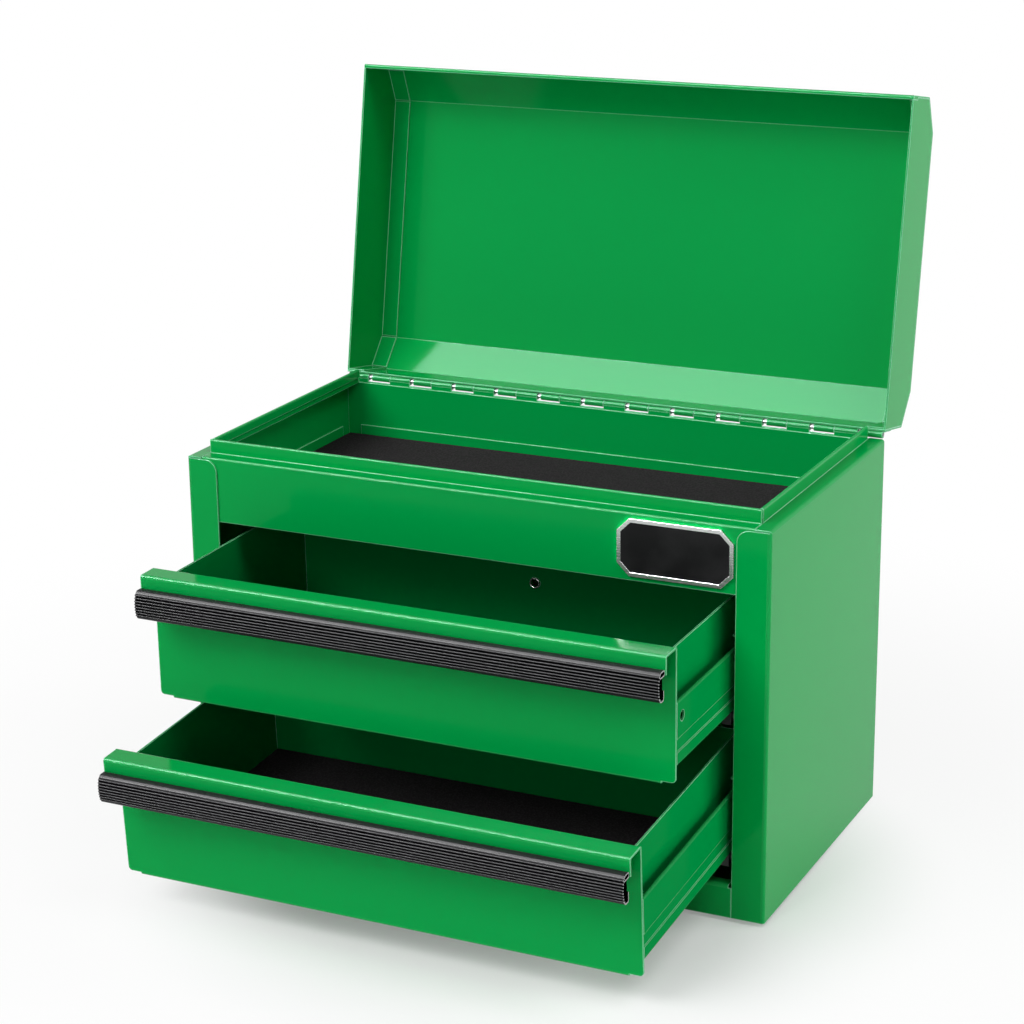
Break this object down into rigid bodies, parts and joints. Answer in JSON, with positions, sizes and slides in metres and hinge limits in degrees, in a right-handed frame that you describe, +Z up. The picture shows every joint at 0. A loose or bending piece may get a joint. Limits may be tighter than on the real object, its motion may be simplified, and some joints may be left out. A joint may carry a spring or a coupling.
{
  "type": "tool chest",
  "caption": "Small steel tool chest with a hinged lid over a lined tray, drawers on side rails below, full-width ribbed pulls and a plain nameplate.",
  "frame": {"origin": "on the floor, below the middle of the case's footprint", "axes": "+Z up; the drawers and the front face -Y; +X to the right of someone who stands before the chest"},
  "size_m": [0.3048, 0.3467, 0.3611],
  "materials": {
    "green_enamel": "gloss",
    "black_plastic": "satin",
    "dark_liner": "matte",
    "bright_metal": "satin",
    "black_enamel": "gloss",
    "pin_steel": "satin",
    "black_rubber": "matte",
    "black_nylon": "matte"
  },
  "bodies": {
    "case": {"case_side_left": "green_enamel", "case_side_right": "green_enamel", "header_panel": "green_enamel", "base_pan": "green_enamel", "case_back_panel": "green_enamel", "tray_floor": "green_enamel", "tray_liner": "dark_liner", "foot_front_left": "black_rubber", "foot_front_right": "black_rubber", "foot_rear_left": "black_rubber", "foot_rear_right": "black_rubber", "nameplate_rim": "bright_metal", "nameplate_field": "black_enamel", "hinge_leaf_case": "green_enamel", "hinge_pin": "pin_steel", "upper_channel_left": "green_enamel", "upper_channel_right": "green_enamel", "lower_channel_left": "green_enamel", "lower_channel_right": "green_enamel", "upper_glide_pins": "pin_steel", "lower_glide_pins": "pin_steel"},
    "lid": {"lid_shell": "green_enamel", "lid_end_left": "green_enamel", "lid_end_right": "green_enamel", "hinge_leaf_lid": "green_enamel"},
    "upper_glides": {"upper_glide_shoes": "black_nylon"},
    "upper_drawer": {"upper_drawer_front": "green_enamel", "upper_drawer_pan": "green_enamel", "upper_drawer_liner": "dark_liner", "upper_rail_left": "green_enamel", "upper_rail_right": "green_enamel", "upper_pull_trim": "black_plastic"},
    "lower_glides": {"lower_glide_shoes": "black_nylon"},
    "lower_drawer": {"lower_drawer_front": "green_enamel", "lower_drawer_pan": "green_enamel", "lower_drawer_liner": "dark_liner", "lower_rail_left": "green_enamel", "lower_rail_right": "green_enamel", "lower_pull_trim": "black_plastic"}
  },
  "joints": [
    {"name": "lid_hinge", "type": "hinge", "parent": "case", "child": "lid", "pos_m": [0, 0.0831, 0.1962], "axis": [1, 0, 0], "range_deg": [0, 100]},
    {"name": "upper_drawer_tip", "type": "hinge", "parent": "case", "child": "upper_glides", "pos_m": [0, -0.07205, 0.1], "axis": [1, 0, 0], "range_deg": [-0.65, 0.39]},
    {"name": "upper_drawer_slide", "type": "slide", "parent": "upper_glides", "child": "upper_drawer", "axis": [0, -0.9999, -0.0113], "range_m": [-0.0629, 0.038]},
    {"name": "lower_drawer_tip", "type": "hinge", "parent": "case", "child": "lower_glides", "pos_m": [0, -0.07205, 0.029], "axis": [1, 0, 0], "range_deg": [-3.74, 0.08]},
    {"name": "lower_drawer_slide", "type": "slide", "parent": "lower_glides", "child": "lower_drawer", "axis": [0, -0.9979, -0.0652], "range_m": [-0.0988, 0.0021]}
  ],
  "couplings": [
    {"joint": "upper_drawer_tip", "follows": "upper_drawer_slide", "rad_per_m": 0.18036},
    {"joint": "lower_drawer_tip", "follows": "lower_drawer_slide", "rad_per_m": 0.66068}
  ]
}
